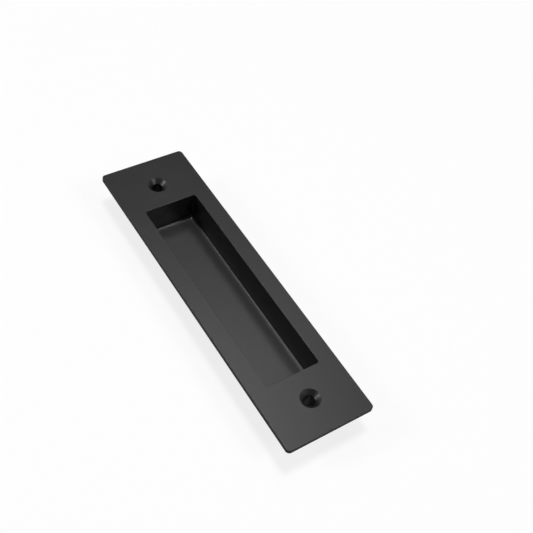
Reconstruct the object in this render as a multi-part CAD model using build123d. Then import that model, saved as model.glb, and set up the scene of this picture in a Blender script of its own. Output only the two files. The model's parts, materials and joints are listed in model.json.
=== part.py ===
from build123d import *
import os

# Flush door pull: one die casting, a face plate with a finger cup behind it.
# Millimetres. The origin is the centre of the plate's back, the face that seats on the door.
# Z points out of the door, Y runs along the plate's length and X across its width.

# Face plate
PLATE_LENGTH = 152.0
PLATE_WIDTH = 40.0
PLATE_THICKNESS = 2.0
PLATE_CORNER_RADIUS = 1.7
FACE_EDGE_RADIUS = 0.3

# Finger recess, measured where it opens in the face
RECESS_LENGTH = 98.2
RECESS_WIDTH = 24.7
RECESS_DEPTH = 14.5
RECESS_CORNER_RADIUS = 1.0
RECESS_FLOOR_RADIUS = 1.5
RECESS_LIP_RADIUS = 0.15

# Cup behind the plate, which holds the recess
CUP_WALL = 1.8
CUP_FLOOR = 1.6
CUP_EDGE_RADIUS = 1.5

# Countersunk screw holes, one at each end of the plate
HOLE_SPACING = 122.0
BORE_DIAMETER = 4.8
COUNTERSINK_DIAMETER = 8.6
COUNTERSINK_ANGLE = 90.0

# Round post behind each hole, which guides its screw into the door
POST_DIAMETER = 9.0
POST_LENGTH = 8.0
POST_EDGE_RADIUS = 0.5

# Draft, in degrees, that lets the casting leave its die, and its rounded inside corners
CASTING_DRAFT = 0.5
ROOT_RADIUS = 0.8


def drawn_down(outline, height, depth, foot_radius):
    """Solid drawn down from an outline at a height: it narrows with the draft and its foot is rounded."""
    solid = extrude(Pos(0, 0, height) * outline, depth, dir=(0, 0, -1), taper=CASTING_DRAFT)
    foot = solid.faces().sort_by(Axis.Z)[0]
    return fillet(foot.edges(), foot_radius)


def face_plate():
    """Plate that lies on the door, its outer edge rolled over at the face."""
    outline = RectangleRounded(PLATE_WIDTH, PLATE_LENGTH, PLATE_CORNER_RADIUS)
    plate = extrude(outline, PLATE_THICKNESS)
    face = plate.faces().sort_by(Axis.Z)[-1]
    return fillet(face.edges(), FACE_EDGE_RADIUS)


def cup():
    """Outside of the cup, one wall larger than the recess all round and one floor deeper."""
    width = RECESS_WIDTH + 2 * CUP_WALL
    length = RECESS_LENGTH + 2 * CUP_WALL
    outline = RectangleRounded(width, length, RECESS_CORNER_RADIUS + CUP_WALL)
    return drawn_down(outline, PLATE_THICKNESS, RECESS_DEPTH + CUP_FLOOR, CUP_EDGE_RADIUS)


def recess():
    """Hollow that the fingers reach into."""
    outline = RectangleRounded(RECESS_WIDTH, RECESS_LENGTH, RECESS_CORNER_RADIUS)
    return drawn_down(outline, PLATE_THICKNESS, RECESS_DEPTH, RECESS_FLOOR_RADIUS)


def screw_post():
    """Post on the back of the plate, around the bore."""
    return drawn_down(Circle(POST_DIAMETER / 2), 0, POST_LENGTH, POST_EDGE_RADIUS)


def screw_hole():
    """Countersink in the face and the bore that runs on through the post."""
    hole = CounterSinkHole(
        radius=BORE_DIAMETER / 2,
        counter_sink_radius=COUNTERSINK_DIAMETER / 2,
        depth=PLATE_THICKNESS + POST_LENGTH,
        counter_sink_angle=COUNTERSINK_ANGLE,
    )
    return Pos(0, 0, PLATE_THICKNESS) * hole


def pull_body():
    """The whole casting: the outside first, then the recess and the holes cut into it."""
    hole_places = [Pos(0, end * HOLE_SPACING / 2, 0) for end in (-1, 1)]

    body = face_plate() + cup()
    for place in hole_places:
        body += place * screw_post()
    flat_faces = body.faces().filter_by(Axis.Z)
    seat = min(flat_faces, key=lambda flat: abs(flat.center().Z))
    roots = [edge for wire in seat.inner_wires() for edge in wire.edges()]
    body = fillet(roots, ROOT_RADIUS)

    body -= recess()
    face = body.faces().sort_by(Axis.Z)[-1]
    lip = face.inner_wires()[0]
    body = fillet(lip.edges(), RECESS_LIP_RADIUS)

    for place in hole_places:
        body -= place * screw_hole()
    return body


os.makedirs("parts", exist_ok=True)
export_step(pull_body(), "parts/pull_body.step")
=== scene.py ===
import json
import math

import bpy
from mathutils import Matrix, Vector


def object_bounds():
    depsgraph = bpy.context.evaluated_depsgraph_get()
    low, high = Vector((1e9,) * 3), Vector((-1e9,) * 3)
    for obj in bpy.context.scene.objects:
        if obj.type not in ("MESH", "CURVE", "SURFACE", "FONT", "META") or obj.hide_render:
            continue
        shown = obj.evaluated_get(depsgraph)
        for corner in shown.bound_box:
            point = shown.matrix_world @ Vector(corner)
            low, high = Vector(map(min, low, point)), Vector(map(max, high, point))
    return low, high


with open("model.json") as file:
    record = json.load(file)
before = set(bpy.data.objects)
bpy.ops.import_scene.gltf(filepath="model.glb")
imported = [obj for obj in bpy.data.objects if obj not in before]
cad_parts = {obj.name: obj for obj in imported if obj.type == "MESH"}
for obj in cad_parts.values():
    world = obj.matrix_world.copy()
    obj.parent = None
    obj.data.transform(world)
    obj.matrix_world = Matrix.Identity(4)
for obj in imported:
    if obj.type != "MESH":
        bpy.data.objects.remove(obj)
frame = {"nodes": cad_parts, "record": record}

# Flush door pull, matte black, lying face up on a white table.
# Metres, degrees and watts. An azimuth runs from +Y towards +X.
CAD_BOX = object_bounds()
LOWEST, HIGHEST = CAD_BOX

# How far each screw hole lies from the middle, along Y
MM = 0.001
HOLES = next(mount for mount in frame["record"]["mounts"] if mount["name"] == "screw_holes")
HOLE_FROM_MIDDLE = HOLES["dims"]["spacing_y_mm"] * MM / 2

# Camera: where it stands, how it is turned, its lens, and the nearest and furthest that it sees
EYE = Vector((-0.14613, -0.17859, 0.29709))
LOOK_AZIMUTH = 42.711
LOOK_DOWN = 50.443
ROLL = 13.136
LENS_MM = 61.478
SENSOR_MM = 36.0
SEEN_FROM = 0.01
SEEN_TO = 20.0

# Coat: a dull body colour under a thin skin that gives the sharper part of its gloss
COAT_TONE = 0.006
COAT_ROUGHNESS = 0.44
COAT_SPECULAR = 0.5
SKIN_WEIGHT = 0.3
SKIN_ROUGHNESS = 0.28

# Noise patterns of the coat: waves per metre, detail and roughness of the noise
CLOUDS = (90.0, 3.0, 0.55)
PEEL = (700.0, 1.0, 0.5)
GRAIN = (3200.0, 2.0, 0.6)

# Most of such a noise lies between these two values
NOISE_LOW = 0.3
NOISE_HIGH = 0.7

# What the patterns do: a share of the tone, a step of roughness or the depth of a bump
CLOUD_TONE = 0.12
CLOUD_GLOSS = 0.022
PEEL_DEPTH = 0.000012
GRAIN_TONE = 0.25
GRAIN_GLOSS = 0.045
GRAIN_DEPTH = 0.000003

# The plate's outer sides are duller than the rest: what lies in a narrow border along its outline
# and is upright. The last two values are heights of a normal, fully upright and no longer upright
BORDER_WIDTH = 0.002
BORDER_DULLNESS = 0.5
UPRIGHT_TO = 0.2
LEVEL_FROM = 0.8

# Table. For the camera, and in gloss and glass, a share of its shade is lifted to white
TABLE_SIZE = 6.0
TABLE_COLOR = 0.93
TABLE_WHITE_SHARE = 0.8

# Under the part it isn't lifted: further in from the plate's outline than this, with a soft edge
SHADED_INSET = 0.011
SHADED_FADE = 0.004

# Painted shadow: right under each screw hole the table is dark, in a round spot with a soft edge
PAINTED_SHADOW_RADIUS = 0.004
PAINTED_SHADOW_FADE = 0.002
PAINTED_SHADOW_COLOR = 0.08

# Surroundings: dim and even, with a backdrop that is white up to one elevation and gone by the next
WORLD_STRENGTH = 0.04
BACKDROP_WHITE_TO = 8.0
BACKDROP_ENDS = 20.0

# Softboxes, all at one distance: azimuth, elevation, width, height and power
LAMP_DISTANCE = 2.0
LAMPS = {
    "overhead": (0, 87, 0.4, 0.4, 24.0),
    "left_back": (-62, 33, 0.4, 0.6, 11.0),
    "back": (39, 61, 0.5, 0.5, 3.3),
    "right_near": (147, 46, 0.4, 0.6, 9.0),
}


class Tree:
    """Nodes of a material or world. What goes into a node is a figure, a colour or an output."""

    def __init__(self, owner):
        owner.use_nodes = True
        self.nodes = owner.node_tree.nodes
        self.links = owner.node_tree.links
        self.nodes.clear()

    def node(self, kind, inputs=None, operation=None):
        """New node with its inputs, which go by name or by number."""
        made = self.nodes.new(kind)
        if operation:
            made.operation = operation
        for key, value in (inputs or {}).items():
            if isinstance(value, bpy.types.NodeSocket):
                self.links.new(value, made.inputs[key])
            else:
                made.inputs[key].default_value = value
        return made

    def math(self, operation, *values):
        """What the operation makes of one or two values."""
        return self.node("ShaderNodeMath", dict(enumerate(values)), operation).outputs["Value"]

    def vector_math(self, operation, *vectors):
        """Node that works on one or two vectors."""
        return self.node("ShaderNodeVectorMath", dict(enumerate(vectors)), operation)

    def ramp(self, value, start, end, low, high):
        """Goes from low to high while the value goes from start to end."""
        inputs = {"Value": value, "From Min": start, "From Max": end, "To Min": low, "To Max": high}
        return self.node("ShaderNodeMapRange", inputs).outputs["Result"]

    def noise(self, place, scale, detail, roughness):
        """Noise pattern in space."""
        inputs = {"Vector": place, "Scale": scale, "Detail": detail, "Roughness": roughness}
        return self.node("ShaderNodeTexNoise", inputs).outputs["Fac"]

    def spread(self, noise, middle, reach):
        """Noise that goes from a reach below the middle value to a reach above it."""
        return self.ramp(noise, NOISE_LOW, NOISE_HIGH, middle - reach, middle + reach)

    def coordinates(self, kind):
        """Texture coordinates of that kind."""
        return self.node("ShaderNodeTexCoord").outputs[kind]

    def split(self, vector):
        """Outputs X, Y and Z of a vector."""
        return self.node("ShaderNodeSeparateXYZ", {"Vector": vector}).outputs

    def seen_directly(self):
        """One for rays from the camera and in gloss and glass, nought for light that falls on things."""
        rays = self.node("ShaderNodeLightPath").outputs
        seen = self.math("MAXIMUM", rays["Is Camera Ray"], rays["Is Glossy Ray"])
        return self.math("MAXIMUM", seen, rays["Is Transmission Ray"])

    def finish_with(self, shader, kind):
        """Makes a shader the surface of the material or world."""
        self.node(kind, {"Surface": shader})


def grey(value):
    """Neutral colour of that linear brightness."""
    return (value, value, value, 1.0)


def direction(azimuth, elevation):
    """Unit vector that way."""
    turn, rise = math.radians(azimuth), math.radians(elevation)
    level = math.cos(rise)
    return Vector((math.sin(turn) * level, math.cos(turn) * level, math.sin(rise)))


def add_to_scene(name, data):
    """Object in the scene."""
    made = bpy.data.objects.new(name, data)
    bpy.context.scene.collection.objects.link(made)
    return made


def mirrored(tree, place):
    """The same place in the quarter where X and Y are positive."""
    return tree.vector_math("ABSOLUTE", place).outputs["Vector"]


def outside_plate(tree, place, inset):
    """How far a place lies outside the plate's outline once that is drawn in by the inset."""
    corner = (HIGHEST.x - inset, HIGHEST.y - inset, 0.0)
    past = tree.vector_math("SUBTRACT", mirrored(tree, place), corner).outputs["Vector"]
    past_edges = tree.split(past)
    return tree.math("MAXIMUM", past_edges["X"], past_edges["Y"])


def outer_side(tree, place):
    """One on the plate's outer sides, nought on level faces and inside the recess."""
    normal = tree.split(tree.coordinates("Normal"))
    levelness = tree.math("ABSOLUTE", normal["Z"])
    upright = tree.ramp(levelness, UPRIGHT_TO, LEVEL_FROM, 1.0, 0.0)
    in_border = tree.math("GREATER_THAN", outside_plate(tree, place, BORDER_WIDTH), 0.0)
    return tree.math("MULTIPLY", upright, in_border)


def black_coat():
    """Matte black coat with a fine grain on a slow orange peel, and faint clouds in tone and gloss."""
    material = bpy.data.materials.new("matte_black_coat")
    tree = Tree(material)
    place = tree.coordinates("Object")
    clouds = tree.noise(place, *CLOUDS)
    peel = tree.noise(place, *PEEL)
    grain = tree.noise(place, *GRAIN)
    side = outer_side(tree, place)

    cloud_tone = tree.spread(clouds, 1.0, CLOUD_TONE)
    grain_tone = tree.spread(grain, COAT_TONE, COAT_TONE * GRAIN_TONE)
    cloud_gloss = tree.spread(clouds, 0.0, CLOUD_GLOSS)
    grain_gloss = tree.spread(grain, COAT_ROUGHNESS, GRAIN_GLOSS)
    gloss = tree.math("ADD", cloud_gloss, grain_gloss)
    dullness = tree.ramp(side, 0.0, 1.0, 0.0, BORDER_DULLNESS)

    peel_bump = {"Strength": 1.0, "Distance": PEEL_DEPTH, "Height": peel}
    peel_normal = tree.node("ShaderNodeBump", peel_bump).outputs["Normal"]
    grain_bump = {"Strength": 1.0, "Distance": GRAIN_DEPTH, "Height": grain, "Normal": peel_normal}
    normal = tree.node("ShaderNodeBump", grain_bump).outputs["Normal"]

    shader = tree.node("ShaderNodeBsdfPrincipled", {
        "Base Color": tree.math("MULTIPLY", cloud_tone, grain_tone),
        "Roughness": tree.math("ADD", gloss, dullness),
        "Specular IOR Level": COAT_SPECULAR,
        "Normal": normal,
        "Coat Weight": tree.ramp(side, 0.0, 1.0, SKIN_WEIGHT, 0.0),
        "Coat Roughness": SKIN_ROUGHNESS,
        "Coat Normal": normal,
    })
    tree.finish_with(shader.outputs["BSDF"], "ShaderNodeOutputMaterial")
    return material


def table_material():
    """White table top that keeps the part's shadow, softened for the camera and in gloss and glass, with
    a painted shadow right under each screw hole.
    """
    material = bpy.data.materials.new("table_white")
    tree = Tree(material)
    place = tree.coordinates("Object")

    # Painted shadow: a dark spot right under each screw hole, so that no light comes back up through the
    # bore
    hole = (0.0, HOLE_FROM_MIDDLE, 0.0)
    to_hole = tree.vector_math("DISTANCE", mirrored(tree, place), hole).outputs["Value"]
    table_color_with_painted_shadow = tree.ramp(to_hole, PAINTED_SHADOW_RADIUS, PAINTED_SHADOW_RADIUS + PAINTED_SHADOW_FADE, PAINTED_SHADOW_COLOR, TABLE_COLOR)
    lit = tree.node("ShaderNodeBsdfDiffuse", {"Color": table_color_with_painted_shadow}).outputs["BSDF"]

    # Under the part the table stays as dark as its own shadow leaves it
    away = outside_plate(tree, place, SHADED_INSET)
    lift = tree.ramp(away, 0.0, SHADED_FADE, 0.0, TABLE_WHITE_SHARE)
    white_share = tree.math("MULTIPLY", tree.seen_directly(), lift)
    white = tree.node("ShaderNodeEmission", {"Color": grey(1.0), "Strength": 1.0}).outputs["Emission"]
    top = tree.node("ShaderNodeMixShader", {0: white_share, 1: lit, 2: white}).outputs["Shader"]

    # Seen from underneath, the table lets the part's back show
    below = tree.node("ShaderNodeNewGeometry").outputs["Backfacing"]
    clear = tree.node("ShaderNodeBsdfTransparent").outputs["BSDF"]
    surface = tree.node("ShaderNodeMixShader", {0: below, 1: top, 2: clear}).outputs["Shader"]
    tree.finish_with(surface, "ShaderNodeOutputMaterial")
    return material


def make_table():
    """Flat table top that the cup's back lies on."""
    half = TABLE_SIZE / 2
    mesh = bpy.data.meshes.new("table")
    corners = [(-half, -half, 0), (half, -half, 0), (half, half, 0), (-half, half, 0)]
    mesh.from_pydata(corners, [], [(0, 1, 2, 3)])
    mesh.materials.append(table_material())
    table = add_to_scene("table", mesh)
    table.location.z = LOWEST.z


def make_softbox(name, azimuth, elevation, width, height, watts):
    """Area lamp on a dome round the part, facing its middle."""
    lamp = bpy.data.lights.new(name, "AREA")
    lamp.shape = "RECTANGLE"
    lamp.size = width
    lamp.size_y = height
    lamp.energy = watts
    towards = direction(azimuth, elevation)
    box = add_to_scene(name, lamp)
    box.location = towards * LAMP_DISTANCE
    box.rotation_mode = "QUATERNION"
    box.rotation_quaternion = towards.to_track_quat("Z", "Y")


def make_world():
    """Dim even surroundings, with white behind the table's far edge."""
    world = bpy.data.worlds.new("studio")
    tree = Tree(world)
    height = tree.split(tree.coordinates("Generated"))["Z"]
    white_to = math.sin(math.radians(BACKDROP_WHITE_TO))
    ends = math.sin(math.radians(BACKDROP_ENDS))
    low_down = tree.ramp(height, white_to, ends, 1.0, 0.0)
    backdrop = tree.math("MULTIPLY", tree.seen_directly(), low_down)
    strength = tree.ramp(backdrop, 0.0, 1.0, WORLD_STRENGTH, 1.0)
    background = tree.node("ShaderNodeBackground", {"Color": grey(1.0), "Strength": strength})
    tree.finish_with(background.outputs["Background"], "ShaderNodeOutputWorld")
    bpy.context.scene.world = world


def make_camera():
    """Camera at the photograph's viewing angle."""
    data = bpy.data.cameras.new("camera")
    data.lens = LENS_MM
    data.sensor_width = SENSOR_MM
    data.clip_start = SEEN_FROM
    data.clip_end = SEEN_TO
    forward = direction(LOOK_AZIMUTH, -LOOK_DOWN)
    right = forward.cross(Vector((0, 0, 1))).normalized()
    up = right.cross(forward)
    turn = Matrix((right, up, -forward)).transposed().to_4x4()
    roll = Matrix.Rotation(math.radians(ROLL), 4, "Z")
    camera = add_to_scene("camera", data)
    camera.matrix_world = Matrix.Translation(EYE) @ turn @ roll
    bpy.context.scene.camera = camera


def dress_body():
    """Puts the coat on the casting."""
    body = frame["nodes"]["pull_body"]
    body.data.materials.clear()
    body.data.materials.append(black_coat())


dress_body()
make_table()
for lamp_name, lamp_row in LAMPS.items():
    make_softbox(lamp_name, *lamp_row)
make_world()
make_camera()
bpy.context.scene.view_settings.view_transform = "Standard"
